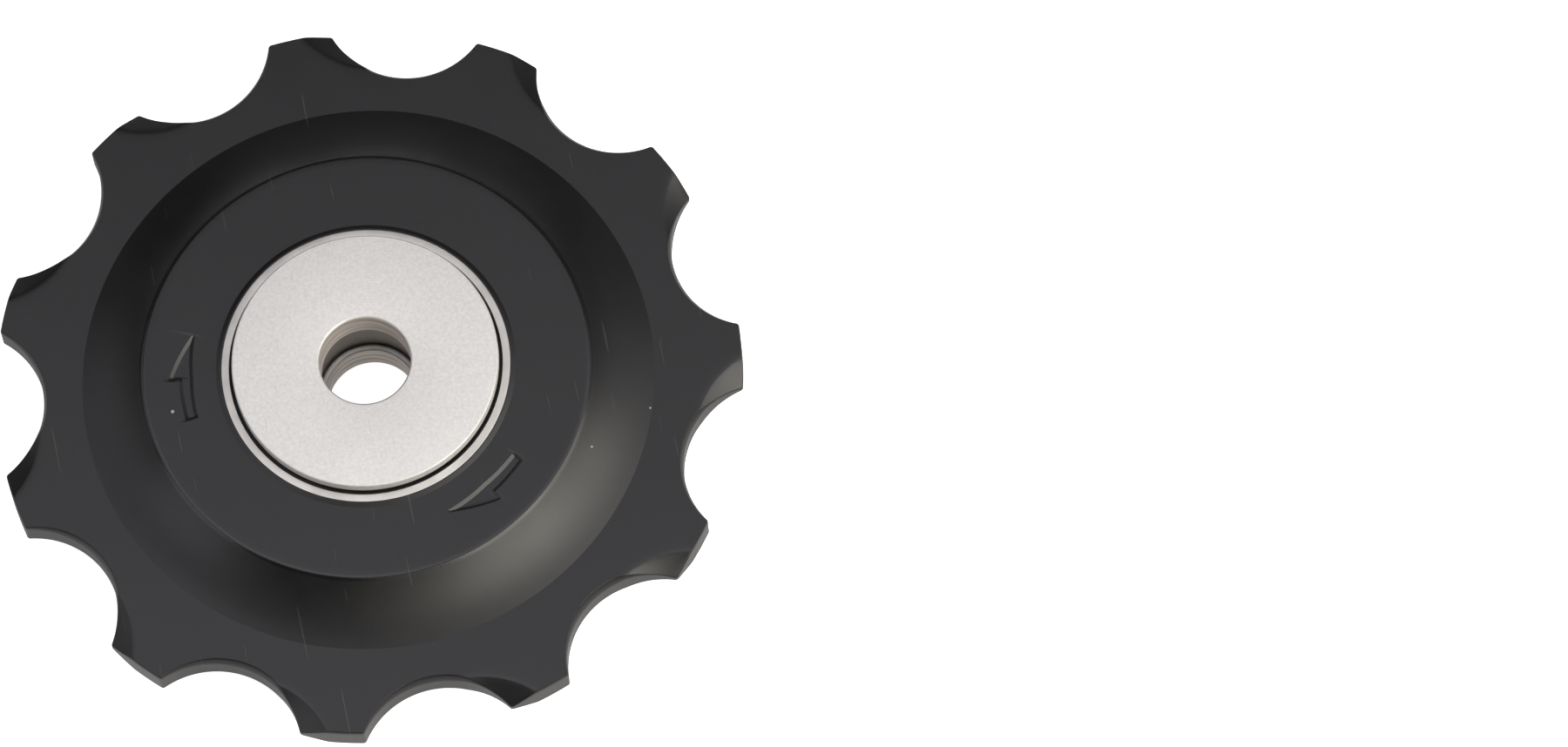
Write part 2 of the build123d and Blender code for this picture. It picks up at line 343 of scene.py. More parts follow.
hub_rim = np.array([HUB_RADIUS, HUB_FACE])
rim_length = HUB_ROUND * np.tan(np.radians(SLOPE_TOP_ANGLE) / 2)
rim_start = hub_rim - np.array([rim_length, 0.0])
rim_end = hub_rim + rim_length * direction(-SLOPE_TOP_ANGLE)
rim_rows = along_arc(rim_start - np.array([0.0, HUB_ROUND]), rim_start, rim_end, RIM_ROWS)

slope_foot = np.array([HUB_RADIUS + SLOPE_WIDTH, TOOTH_TOP])
chord = slope_foot - rim_end
chord_angle = np.degrees(np.arctan2(-chord[1], chord[0]))
hollow = np.hypot(*chord) * np.tan(np.radians(SLOPE_TOP_ANGLE - chord_angle)) / 4
slope_steps = np.linspace(0.0, 1.0, SLOPE_ROWS + 1)[1:, None]
slope_rows = rim_end + slope_steps * chord
slope_rows += 4 * hollow * slope_steps * (1 - slope_steps) * direction(-chord_angle - 90)
outer_rows = np.concatenate([band_rows, rim_rows, slope_rows])
print("rows inside and outside the arrows:", len(inner_rows), len(outer_rows))
print("hollow of the slope in mm:", round(float(hollow), 3))

# %% Hub band rows with the arrows
TIP_ROOM = 0.03
BEFORE_POINT = 20.0
SHAFT_LEAST = [[0.3], [0.6]]
SHAFT_MOST = [[0.5], [0.8]]


def arrow_rows(depth):
    """Six rows across the hub band: pairs along the walls of the inner edge, the shaft and the slanted edge.

    The height is the hub face less the depth, times a ramp from 0 to 1 over the width of the wall.
    Near the point, where the pairs would cross, they keep their order and a least room.
    """
    past_point = ((column_angles[:, None] - ARROW_POINTS_AT + BEFORE_POINT) % 360 - BEFORE_POINT).min(axis=1)
    along = ARROW_MIDDLE * np.radians(past_point)
    inner = np.interp(along, *ARROW_OUTLINE[[0, 5, 4]].T)
    slanted = np.interp(along, *ARROW_OUTLINE[:2].T)
    middle = (inner + slanted) / 2
    low = np.minimum(inner + half_wall, middle - TIP_ROOM)
    high = np.maximum(slanted - half_wall, middle + TIP_ROOM)
    shaft = ARROW_OUTLINE[2, 1] + half_wall * np.array([[-1.0], [1.0]])
    shaft = low + (high - low) * np.clip((shaft - low) / (high - low), SHAFT_LEAST, SHAFT_MOST)
    radii = np.stack([inner - half_wall, low, shaft[0], shaft[1], high, slanted + half_wall])
    places = np.stack([np.broadcast_to(along, radii.shape), radii], axis=-1)
    sunk = np.clip(inside_distance(places, ARROW_OUTLINE) / ARROW_WALL + 0.5, 0.0, 1.0)
    return np.concatenate([radii[..., None] * column_direction, HUB_FACE - depth * sunk[..., None]], axis=-1)


print("lowest point of the arrows in mm:", round(float(arrow_rows(ARROW_DEPTH)[..., 2].min()), 2))

# %% [markdown]
# ## The web and the soft edges
#
# The thin web runs from the slope out to the teeth. Its upper edge is soft, most of all at the bottom of
# a valley and hardly at the tips and along the bevels, and its lower edge is nearly sharp. A Bevel modifier
# gives an edge one width all along, so these rows are worked out too. Across the web they are pulled to
# the crease of the bevel, so that it follows the grid, and the last ones go over the edge and down the wall.

# %% Web and bevel rows
EDGE_WIDTH = 0.24
TIP_FADE = 0.7
BEVEL_FADE = 3
LEAST_SHARE = 0.15
CREASE_STEP = 0.03
STEPS_TO_EDGE = 5
WEB_SHARES = np.array([0.12, 0.27, 0.43, 0.6, 0.78, 0.92])
BEVEL_SHARES = np.array([0.25, 0.5, 0.75, 1.0])

to_tip = (np.linalg.norm(edge, axis=1) - ROOT_RADIUS) / (TIP_RADIUS - ROOT_RADIUS)
edge_share = (1 - TIP_FADE * to_tip) * (face_height(edge) / TOOTH_TOP) ** BEVEL_FADE
edge_share = np.maximum(edge_share, LEAST_SHARE)
edge_inset = edge - EDGE_WIDTH * edge_share[:, None] * edge_normals


def crease_crossing(start, way):
    """Share s of the way from start that meets the bevel's arc first, or 1 where none does.

    |start + s way - centre| = radius gives a s^2 + 2 b s + c = 0, so s is (-b - sqrt(b^2 - a c)) / a.
    """
    from_centre = start - bevel_centre
    a = (way**2).sum(axis=1)
    b = (from_centre * way).sum(axis=1)
    c = (from_centre**2).sum(axis=1) - BEVEL_RADIUS**2
    under_root = b**2 - a * c
    return np.where(under_root > 0, (-b - np.sqrt(np.maximum(under_root, 0))) / a, 1.0)


foot = slope_foot[0] * column_direction
reach = edge_inset - foot
step = CREASE_STEP / np.linalg.norm(reach, axis=1)
local_foot = on_one_tooth(foot)
crossing = crease_crossing(local_foot, on_one_tooth(edge_inset) - local_foot)
bevelled = face_height(edge_inset) < TOOTH_TOP - CREASE_SOFTNESS
last_crease = 1 - STEPS_TO_EDGE * step
crease = np.where(bevelled & (crossing > 0), np.minimum(crossing, last_crease), last_crease)
shares = np.concatenate(
    [
        WEB_SHARES[:, None] * (crease - step),
        np.stack([crease - step, crease, crease + step]),
        crease + step + BEVEL_SHARES[:, None] * (1 - crease - step),
    ]
)
web_plane = foot + shares[..., None] * reach
web_rows = np.concatenate([web_plane, face_height(web_plane)[..., None]], axis=-1)
print("rows across the web:", len(web_rows))

# %% Edge rows
UPPER_EDGE_DROP = 0.48
LOWER_EDGE_DROP = 0.04
EDGE_ANGLES = np.radians([5.0, 15.0, 29.0, 45.0, 62.0, 77.0, 90.0])[:, None]
EDGE_POWER = 1.6
DOWN_THE_WALL = np.array([[1.0, 1.0, 0.5], [1.0, 1.0, 0.0]])[:, None]


def edge_rows(drop):
    """Rows of the soft edge and the wall below it, down to the middle of the tooth.

    The edge goes sin(t)^p of the inset outwards and 1 - cos(t)^p of the drop downwards. A power p of 1
    would be a quarter of an ellipse and 2 a straight bevel. The edge's share scales inset and drop alike.
    """
    plane = edge_inset + (np.sin(EDGE_ANGLES) ** EDGE_POWER)[..., None] * (edge - edge_inset)
    fall = 1 - np.abs(np.cos(EDGE_ANGLES)) ** EDGE_POWER
    height = web_rows[-1, :, 2] - drop * edge_share * fall
    soft_rows = np.concatenate([plane, height[..., None]], axis=-1)
    return np.concatenate([soft_rows, soft_rows[-1:] * DOWN_THE_WALL])


widths = EDGE_WIDTH * edge_share
print("soft edge in mm, least and most:", round(float(widths.min()), 3), round(float(widths.max()), 3))

# %% [markdown]
# ## The moulded wheel
#
# The rows of the upper half and the mirrored rows of the lower half, which has no arrows, close the
# section. Carried right round, they give one closed skin with no poles and no seams. The same helpers
# serve the turned pieces further on. Edges above a set angle are shaded sharp, and all others smoothly.


# %% Grid to mesh
def carried_round(section, around):
    """A section of radius and height carried round the axle: radius times each direction, then the height."""
    plane = section[:, None, :1] * around
    height = np.broadcast_to(section[:, None, 1:], plane.shape[:2] + (1,))
    return np.concatenate([plane, height], axis=-1)


def closed_grid_mesh(name, grid, sharp_degrees):
    """Mesh of a grid[i, j] of points in mm that closes on itself both ways.

    Face (i, j) joins points (i, j), (i, j+1), (i+1, j+1) and (i+1, j), all indices taken round.
    """
    rows, columns = grid.shape[:2]
    index = np.arange(rows * columns).reshape(rows, columns)
    beside = np.roll(index, -1, axis=1)
    above = np.roll(index, -1, axis=0)
    across = np.roll(beside, -1, axis=0)
    faces = np.stack([index, beside, across, above], axis=-1).reshape(-1, 4)
    mesh = bpy.data.meshes.new(name)
    mesh.from_pydata((grid.reshape(-1, 3) * MM).tolist(), [], faces.tolist())
    mesh.shade_smooth()
    mesh.set_sharp_from_angle(angle=np.radians(sharp_degrees))
    return mesh


new_pieces = []


def add_piece(mesh, body, slot, *replaced):
    """Object for a mesh that rides on a body, takes a finish slot and stands for CAD nodes."""
    piece = bpy.data.objects.new(mesh.name, mesh)
    bpy.context.scene.collection.objects.link(piece)
    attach(piece, body)
    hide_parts(*replaced)
    new_pieces.append((piece, slot))
    print(f"{mesh.name}: {len(mesh.polygons)} faces on {body}")


# %% The moulded wheel
WHEEL_SHARP = 20.0


def half_wheel(arrow_depth, edge_drop):
    """All rows of the upper half, from the middle of the bearing's pocket to the middle of the tooth edge."""
    return np.concatenate(
        [
            carried_round(inner_rows, column_direction),
            arrow_rows(arrow_depth),
            carried_round(outer_rows, column_direction),
            web_rows,
            edge_rows(edge_drop),
        ]
    )


upper_half = half_wheel(ARROW_DEPTH, UPPER_EDGE_DROP)
lower_half = half_wheel(0.0, LOWER_EDGE_DROP)[-2:0:-1] * np.array([1.0, 1.0, -1.0])
wheel_grid = np.concatenate([upper_half, lower_half])[:, ::-1]
wheel_mesh = closed_grid_mesh("moulded_wheel", wheel_grid, WHEEL_SHARP)
add_piece(wheel_mesh, "wheel", "wheel_plastic", "toothed_wheel")

# %% [markdown]
# ## Turned pieces
#
# The rings, the seals and the caps were turned on a lathe or moulded in a round die, so each one is
# a section carried round the axle. A sharp corner never is quite sharp. A Bevel modifier could ease them
# all, but by one width, so each corner of a section is replaced by a small curve with a width of its own.

# %% Turned piece helpers
TURNED_COLUMNS = 288
TURNED_SHARP = 38.0
CORNER_STEPS = np.linspace(0.0, 1.0, 5)[:, None, None]
MOST_OF_A_SIDE = 0.45
ABOVE = np.array([1.0, 1.0])
BELOW = np.array([1.0, -1.0])


def eased(corners, cut):
    """Closed section with each corner eased by a parabola.

    It is (1-t)^2 p + 2t(1-t) corner + t^2 q, where p and q lie on both sides at a distance cut,
    which is never more than a set share of a side.
    """
    corners = np.asarray(corners, dtype=float)
    cut = np.broadcast_to(np.asarray(cut, dtype=float), len(corners))[:, None]
    to_previous = np.roll(corners, 1, axis=0) - corners
    to_next = np.roll(corners, -1, axis=0) - corners
    share_before = np.minimum(cut / np.linalg.norm(to_previous, axis=1, keepdims=True), MOST_OF_A_SIDE)
    share_after = np.minimum(cut / np.linalg.norm(to_next, axis=1, keepdims=True), MOST_OF_A_SIDE)
    p = corners + to_previous * share_before
    q = corners + to_next * share_after
    t = CORNER_STEPS
    curves = (1 - t) ** 2 * p + 2 * t * (1 - t) * corners + t**2 * q
    return curves.transpose(1, 0, 2).reshape(-1, 2)


def turned_mesh(name, section):
    """Mesh of a closed section of radius and height carried round the axle, with its faces outwards.

    The sign of the sum of r dz - z dr along the section says which way round it is drawn.
    """
    grid = carried_round(section, direction(np.arange(TURNED_COLUMNS) * 360 / TURNED_COLUMNS))
    radius, height = section.T
    area = np.sum(radius * np.roll(height, -1) - np.roll(radius, -1) * height)
    return closed_grid_mesh(name, grid if area < 0 else grid[:, ::-1], TURNED_SHARP)


def both_halves(points):
    """A list of section points, then the same ones below the tooth plane in reverse."""
    points = np.asarray(points, dtype=float)
    return np.concatenate([points, points[::-1] * BELOW])


# %% [markdown]
# ## The bearing rings
#
# Only a narrow bright face of the outer ring shows, between the cap and the plastic, and of the inner ring
# only its bore. Inside, both have a groove that the balls run in, a little wider than the balls. The groove
# is an arc, so it is sampled as one and joined to the eased outline, where a few corners would show facets.

# %% Sizes of the rings
BEARING_BORE = 6.0
BORE_CHAMFER = 0.2
BALL_DIAMETER = 2.778
BALL_CLEARANCE = 0.02
RACE_RADIUS_RATIO = 0.52
SHOULDER_DEPTH = 0.55
LAND_WALL = 0.75
LAND_CHAMFER = 0.08
TRACK_STEP = 0.25
TRACK_CHAMFER = 0.12
SEAL_INSET = 0.3
SEAL_THICKNESS = 0.36
SEAL_SNAP_DEPTH = 0.2
LIP_CLEARANCE = 0.04

BORE_RADIUS = BEARING_BORE / 2
BALL_CIRCLE = (BEARING_RADIUS + BORE_RADIUS) / 2
OUTER_RACE = BALL_CIRCLE + BALL_DIAMETER / 2 + BALL_CLEARANCE
INNER_RACE = BALL_CIRCLE - BALL_DIAMETER / 2 - BALL_CLEARANCE
RACE_RADIUS = BALL_DIAMETER * RACE_RADIUS_RATIO
RACE_HALF_WIDTH = np.sqrt(RACE_RADIUS**2 - (RACE_RADIUS - SHOULDER_DEPTH) ** 2)
LAND_RADIUS = BEARING_RADIUS - LAND_WALL
SNAP_RADIUS = LAND_RADIUS + SEAL_SNAP_DEPTH
TRACK_RADIUS = INNER_RACE + SHOULDER_DEPTH - TRACK_STEP
BOSS_RADIUS = TRACK_RADIUS - TRACK_CHAMFER
SEAL_TOP = BEARING_FACE - SEAL_INSET
SEAL_BASE = SEAL_TOP - SEAL_THICKNESS
print("ball circle and races in mm:", [round(v, 3) for v in (BALL_CIRCLE, INNER_RACE, OUTER_RACE)])

# %% Rings
RING_EASE = 0.025
RACE_POINTS = 17


def race(groove_radius, sign):
    """Arc of the ball groove from its lower to its upper shoulder; sign is the side that the ball lies on."""
    centre = np.array([groove_radius + sign * RACE_RADIUS, 0.0])
    shoulder = np.array([groove_radius + sign * SHOULDER_DEPTH, RACE_HALF_WIDTH])
    return along_arc(centre, shoulder * BELOW, shoulder, RACE_POINTS)


outer_ring_corners = both_halves(
    [
        (OUTER_RACE - SHOULDER_DEPTH, SEAL_BASE),
        (SNAP_RADIUS, SEAL_BASE),
        (SNAP_RADIUS, SEAL_TOP),
        (LAND_RADIUS, SEAL_TOP),
        (LAND_RADIUS, BEARING_FACE - LAND_CHAMFER),
        (LAND_RADIUS + LAND_CHAMFER, BEARING_FACE),
        (BEARING_RADIUS - RING_CHAMFER, BEARING_FACE),
        (BEARING_RADIUS, BEARING_FACE - RING_CHAMFER),
    ]
)
inner_ring_corners = both_halves(
    [
        (INNER_RACE + SHOULDER_DEPTH, SEAL_BASE - LIP_CLEARANCE),
        (TRACK_RADIUS, SEAL_BASE - LIP_CLEARANCE),
        (TRACK_RADIUS, BEARING_FACE - TRACK_CHAMFER),
        (BOSS_RADIUS, BEARING_FACE),
        (BORE_RADIUS + BORE_CHAMFER, BEARING_FACE),
        (BORE_RADIUS, BEARING_FACE - BORE_CHAMFER),
    ]
)
outer_section = np.concatenate([race(OUTER_RACE, -1), eased(outer_ring_corners, RING_EASE)])
inner_section = np.concatenate([race(INNER_RACE, 1), eased(inner_ring_corners, RING_EASE)])
add_piece(turned_mesh("ring_outer", outer_section), "wheel", "bearing_steel", "bearing_outer_ring")
add_piece(turned_mesh("ring_inner", inner_section), "clamped_core", "bearing_steel", "bearing_inner_ring")

# %% [markdown]
# ## Seals and caps
#
# A rubber seal snaps into a groove of the outer ring and reaches to the inner ring with a thin lip. It lies
# in the dark line round the cap. Each cap is a thin disc with a low boss that presses on the inner ring, and
# a short spigot that goes into it. Between the two spigots the ring's own bore shows, a little wider.
# Both pieces are the same above and below, so one section serves twice, the second time upside down.

# %% Seals
SEAL_RIM_WIDTH = 0.4
SEAL_WEB_THICKNESS = 0.24
SEAL_LIP_LENGTH = 0.35
SEAL_LIP_THICKNESS = 0.1
SEAL_EASE = 0.03

seal_middle = (SEAL_TOP + SEAL_BASE) / 2
seal_rim = SNAP_RADIUS - SEAT_CLEARANCE
seal_rim_inside = seal_rim - SEAL_RIM_WIDTH
seal_lip = TRACK_RADIUS + LIP_CLEARANCE
seal_corners = [
    (seal_rim, SEAL_BASE + SEAT_CLEARANCE),
    (seal_rim, SEAL_TOP - SEAT_CLEARANCE),
    (seal_rim_inside, SEAL_TOP - SEAT_CLEARANCE),
    (seal_rim_inside, seal_middle + SEAL_WEB_THICKNESS / 2),
    (seal_lip + SEAL_LIP_LENGTH, seal_middle + SEAL_WEB_THICKNESS / 2),
    (seal_lip, seal_middle + SEAL_LIP_THICKNESS / 2),
    (seal_lip, seal_middle - SEAL_LIP_THICKNESS / 2),
    (seal_lip + SEAL_LIP_LENGTH, seal_middle - SEAL_WEB_THICKNESS / 2),
    (seal_rim_inside, seal_middle - SEAL_WEB_THICKNESS / 2),
    (seal_rim_inside, SEAL_BASE + SEAT_CLEARANCE),
]
seal_section = eased(seal_corners, SEAL_EASE)
add_piece(turned_mesh("seal_front", seal_section * ABOVE), "wheel", "seal_rubber", "upper_seal")
add_piece(turned_mesh("seal_back", seal_section * BELOW), "wheel", "seal_rubber", "lower_seal")

# %% Caps
AXLE_BORE = 5.2
CAP_CLEARANCE = 0.12
CAP_THICKNESS = 0.7
CAP_BORE_CHAMFER = 0.1
BOSS_HEIGHT = 0.1
SPIGOT_LENGTH = 1.4
SPIGOT_CHAMFER = 0.12
SPIGOT_EASES = [0.03, 0.03, 0.03, 0.03]
BOSS_EASES = [0.02, 0.02, 0.03]
DISC_EASES = [0.05, 0.12]
CAP_BORE_EASES = [0.05, 0.05]

AXLE_RADIUS = AXLE_BORE / 2
CAP_RADIUS = LAND_RADIUS - CAP_CLEARANCE
CAP_UNDERSIDE = BEARING_FACE + BOSS_HEIGHT
CAP_TOP = CAP_UNDERSIDE + CAP_THICKNESS
SPIGOT_RADIUS = BORE_RADIUS - SEAT_CLEARANCE
SPIGOT_END = BEARING_FACE - SPIGOT_LENGTH

cap_corners = [
    (AXLE_RADIUS, SPIGOT_END + SPIGOT_CHAMFER),
    (AXLE_RADIUS + SPIGOT_CHAMFER, SPIGOT_END),
    (SPIGOT_RADIUS - SPIGOT_CHAMFER, SPIGOT_END),
    (SPIGOT_RADIUS, SPIGOT_END + SPIGOT_CHAMFER),
    (SPIGOT_RADIUS, BEARING_FACE),
    (BOSS_RADIUS, BEARING_FACE),
    (BOSS_RADIUS, CAP_UNDERSIDE),
    (CAP_RADIUS, CAP_UNDERSIDE),
    (CAP_RADIUS, CAP_TOP),
    (AXLE_RADIUS + CAP_BORE_CHAMFER, CAP_TOP),
    (AXLE_RADIUS, CAP_TOP - CAP_BORE_CHAMFER),
]
cap_section = eased(cap_corners, SPIGOT_EASES + BOSS_EASES + DISC_EASES + CAP_BORE_EASES)
add_piece(turned_mesh("cap_front", cap_section * ABOVE), "clamped_core", "cap_metal", "upper_cap")
add_piece(turned_mesh("cap_back", cap_section * BELOW), "clamped_core", "cap_metal", "lower_cap")

# %% [markdown]
# ## Shared surface effects
#
# Real surfaces are never one flat value. Image textures could show that, but node patterns need no files
# and no unwrapping. Four small node groups give the detail that several finishes share: a fine grain,
# specks of dust, hairline scratches and the rings that a lathe tool leaves. They put out masks and heights
# only, and the shader itself stays in each material.


# %% Node helpers
def new_group(name, inputs, outputs):
    """Empty shader group with a Vector input, number inputs, given as name: default, and number outputs."""
    group = bpy.data.node_groups.new(name, "ShaderNodeTree")
    group.interface.new_socket("Vector", in_out="INPUT", socket_type="NodeSocketVector")
    for label, value in inputs.items():
        socket = group.interface.new_socket(label, in_out="INPUT", socket_type="NodeSocketFloat")
        socket.default_value = value
    for label in outputs:
        group.interface.new_socket(label, in_out="OUTPUT", socket_type="NodeSocketFloat")
    print("group:", name)
    return group, group.nodes.new("NodeGroupInput").outputs, group.nodes.new("NodeGroupOutput").inputs


def add_node(tree, kind, values=None, **settings):
    """Node of a kind with settings and socket values. A value that is a socket is linked, others are set."""
    node = tree.nodes.new(kind)
    for key, value in settings.items():
        setattr(node, key, value)
    for key, value in (values or {}).items():
        if isinstance(value, bpy.types.NodeSocket):
            tree.links.new(value, node.inputs[key])
        else:
            node.inputs[key].default_value = value
    return node


def noise(tree, vector, scale, detail, roughness=0.5):
    """Cloudy pattern from 0 to 1. The roughness says how much its finer details weigh."""
    values = {"Vector": vector, "Scale": scale, "Detail": detail, "Roughness": roughness}
    return add_node(tree, "ShaderNodeTexNoise", values).outputs["Fac"]


def combined(tree, operation, first, second=0.0, third=0.0):
    """Result of a Math node."""
    return add_node(tree, "ShaderNodeMath", {0: first, 1: second, 2: third}, operation=operation).outputs[0]


def ramp(tree, value, low, high, to_low=0.0, to_high=1.0):
    """Value mapped from low..high to another range, clamped, with smooth ends."""
    values = {"Value": value, "From Min": low, "From Max": high, "To Min": to_low, "To Max": to_high}
    return add_node(tree, "ShaderNodeMapRange", values, interpolation_type="SMOOTHSTEP").outputs["Result"]


def off_axle(tree, place):
    """Distance from the axle in metres: the length of the place with its height taken away."""
    flat = add_node(tree, "ShaderNodeVectorMath", {0: place, 1: (1.0, 1.0, 0.0)}, operation="MULTIPLY")
    return add_node(tree, "ShaderNodeVectorMath", {0: flat.outputs[0]}, operation="LENGTH").outputs["Value"]


# %% Grain group
MOTTLE_SCALE = 0.06
MOTTLE_RANGE = (0.3, 0.7)

grain_group, given, result = new_group("fine_grain", {"Scale": 9000.0}, ["Height", "Mottle"])
fine = noise(grain_group, given["Vector"], given["Scale"], detail=3.0, roughness=0.6)
coarse_scale = combined(grain_group, "MULTIPLY", given["Scale"], MOTTLE_SCALE)
coarse = noise(grain_group, given["Vector"], coarse_scale, detail=4.0, roughness=0.55)
grain_group.links.new(fine, result["Height"])
grain_group.links.new(ramp(grain_group, coarse, *MOTTLE_RANGE), result["Mottle"])

# %% Dust group
dust_group, given, result = new_group("dust_specks", {"Scale": 420.0, "Size": 0.05, "Share": 0.12}, ["Mask"])
cell_values = {"Vector": given["Vector"], "Scale": given["Scale"]}
cells = add_node(dust_group, "ShaderNodeTexVoronoi", cell_values, feature="F1")
cell_number = add_node(dust_group, "ShaderNodeSeparateColor", {0: cells.outputs["Color"]}).outputs[0]
chosen = combined(dust_group, "LESS_THAN", cell_number, given["Share"])
near_middle = combined(dust_group, "LESS_THAN", cells.outputs["Distance"], given["Size"])
dust_group.links.new(combined(dust_group, "MULTIPLY", chosen, near_middle), result["Mask"])

# %% Scratch group
SCRATCH_TURNS = (0.5, 1.7, 2.6)
SCRATCH_SHIFTS = (0.013, 0.047, 0.091)
SCRATCH_STRETCH = 28.0
FEWEST_ABOVE = 0.82
LOWER_WITH_SHARE = -0.2

scratch_group, given, result = new_group("hairline_scratches", {"Scale": 120.0, "Share": 0.3}, ["Mask"])
threshold = combined(scratch_group, "MULTIPLY_ADD", given["Share"], LOWER_WITH_SHARE, FEWEST_ABOVE)
masks = []
for turn, shift in zip(SCRATCH_TURNS, SCRATCH_SHIFTS):
    mapping = {"Vector": given["Vector"], "Location": (shift, shift, shift), "Rotation": (0.0, 0.0, turn)}
    mapping["Scale"] = (SCRATCH_STRETCH, 1.0, 1.0)
    lined_up = add_node(scratch_group, "ShaderNodeMapping", mapping).outputs[0]
    streaks = noise(scratch_group, lined_up, given["Scale"], detail=1.0)
    masks.append(combined(scratch_group, "GREATER_THAN", streaks, threshold))
two_ways = combined(scratch_group, "MAXIMUM", masks[0], masks[1])
scratch_group.links.new(combined(scratch_group, "MAXIMUM", two_ways, masks[2]), result["Mask"])

# %% Turning marks group
FULL_TURN = 2 * np.pi
WAVER_SCALE = 2200.0

marks_inputs = {"Pitch": 0.00012, "Waver": 0.3}
marks_group, given, result = new_group("turning_marks", marks_inputs, ["Height", "Radius"])
radius = off_axle(marks_group, given["Vector"])
waver = noise(marks_group, given["Vector"], WAVER_SCALE, detail=2.0)
turns = combined(marks_group, "DIVIDE", radius, given["Pitch"])
turns = combined(marks_group, "MULTIPLY_ADD", waver, given["Waver"], turns)
phase = combined(marks_group, "MULTIPLY", turns, FULL_TURN)
wave = combined(marks_group, "MULTIPLY_ADD", combined(marks_group, "SINE", phase), 0.5, 0.5)
marks_group.links.new(wave, result["Height"])
marks_group.links.new(radius, result["Radius"])

# %% [markdown]
# ## The black plastic
#
# The wheel is moulded in an almost black plastic, so what shows of it is mostly the gloss of its satin
# skin. One flat black would look cut out. The grain varies the tone and the roughness and feeds a faint
# bump, and a few hairlines and specks lie on top. The hub's rim is smoother than the rest, which draws
# the bright line round the hub. Like all finishes here, it starts from one Principled shader.


# %% Material helpers
def new_material(name, colour, roughness, metallic=0.0):
    """Material with one Principled shader and its plain values. Returns it, its tree, shader and place."""
    material = bpy.data.materials.new(name)
    material.use_nodes = True
    tree = material.node_tree
    shader = tree.nodes["Principled BSDF"]
    shader.inputs["Base Color"].default_value = (*colour, 1.0)
    shader.inputs["Roughness"].default_value = roughness
    shader.inputs["Metallic"].default_value = metallic
    print("finish:", name)
    return material, tree, shader, tree.nodes.new("ShaderNodeTexCoord").outputs["Object"]


def group_in(tree, group, vector, **values):
    """Outputs of a shared effect placed in a material with its own values."""
    return add_node(tree, "ShaderNodeGroup", {"Vector": vector, **values}, node_tree=group).outputs


def mixed(tree, mask, colour, other):
    """Colour that goes from one to the other as the mask goes from 0 to 1. The first may be a socket."""
    node = add_node(tree, "ShaderNodeMix", {"Factor": mask}, data_type="RGBA")
    for key, value in (("A", colour), ("B", other)):
        socket = [s for s in node.inputs if s.name == key and s.type == "RGBA"][0]
        if isinstance(value, bpy.types.NodeSocket):
            tree.links.new(value, socket)
        else:
            socket.default_value = (*value, 1.0)
    return [s for s in node.outputs if s.type == "RGBA"][0]


def bump(tree, shader, height, depth):
    """Bump from a height mask, with a depth in mm."""
    node = add_node(tree, "ShaderNodeBump", {"Height": height, "Strength": 1.0, "Distance": depth * MM})
    tree.links.new(node.outputs["Normal"], shader.inputs["Normal"])


# %% Black moulded plastic
PLASTIC = (0.0065, 0.0065, 0.007)
PLASTIC_TONES = ((0.006, 0.006, 0.0064), (0.0072, 0.0072, 0.0076))
PLASTIC_SCRATCH = (0.03, 0.029, 0.028)
PLASTIC_DUST = (0.3, 0.29, 0.27)
PLASTIC_ROUGHNESS = (0.35, 0.37)
PLASTIC_IOR = 1.5
PLASTIC_GRAIN_DEPTH = 0.003
RIM_FADES_IN = np.array([12.6, 12.7]) * MM
RIM_FADES_OUT = np.array([12.92, 13.04]) * MM
RIM_ROUGHNESS_SHARE = 0.68

plastic, tree, shader, place = new_material("satin_black_moulding", PLASTIC, roughness=0.36)
shader.inputs["IOR"].default_value = PLASTIC_IOR
grain = group_in(tree, grain_group, place, Scale=7000.0)
dust = group_in(tree, dust_group, place, Scale=260.0, Size=0.026, Share=0.08)
scratch = group_in(tree, scratch_group, place, Scale=140.0, Share=0.2)
tone = mixed(tree, grain["Mottle"], *PLASTIC_TONES)
tone = mixed(tree, scratch["Mask"], tone, PLASTIC_SCRATCH)
tone = mixed(tree, dust["Mask"], tone, PLASTIC_DUST)
tree.links.new(tone, shader.inputs["Base Color"])
radius = off_axle(tree, place)
past_start = ramp(tree, radius, *RIM_FADES_IN)
before_end = ramp(tree, radius, *RIM_FADES_OUT, 1.0, 0.0)
on_rim = combined(tree, "MULTIPLY", past_start, before_end)
rim_share = ramp(tree, on_rim, 0.0, 1.0, 1.0, RIM_ROUGHNESS_SHARE)
rough = ramp(tree, grain["Mottle"], 0.0, 1.0, *PLASTIC_ROUGHNESS)
tree.links.new(combined(tree, "MULTIPLY", rough, rim_share), shader.inputs["Roughness"])
bump(tree, shader, grain["Height"], PLASTIC_GRAIN_DEPTH)

# %% [markdown]
# ## The cap metal
#
# The caps are a light turned metal with a dull, slightly grainy face. Anisotropic gloss could stand for
# the turning marks, but at this size they show as faint rings, so they go into the bump. The bore is painted
# warmer and darker, as painted shade inside the hole, with fine rings along its depth. It is told from the
# face by its distance from the axle.

# %% Turned cap metal
CAP_METAL = (0.7, 0.69, 0.68)
CAP_TONES = ((0.585, 0.58, 0.56), (0.855, 0.85, 0.83))
CAP_SCRATCH = (0.6, 0.59, 0.57)
# Painted shade of the bore: tones darker and warmer than the face.
CAP_BORE_SHADE_TONES = ((0.44, 0.395, 0.355), (0.72, 0.67, 0.62))
CAP_BORE_SHADE_ENDS = np.array([2.62, 2.68]) * MM
CAP_ROUGHNESS = (0.5, 0.58)
CAP_RELIEF_DEPTH = 0.004
CAP_MARKS_SHARE = 0.5
BORE_RINGS_SCALE = (250.0, 250.0, 7000.0)
BORE_RINGS_RANGE = (0.35, 0.65)

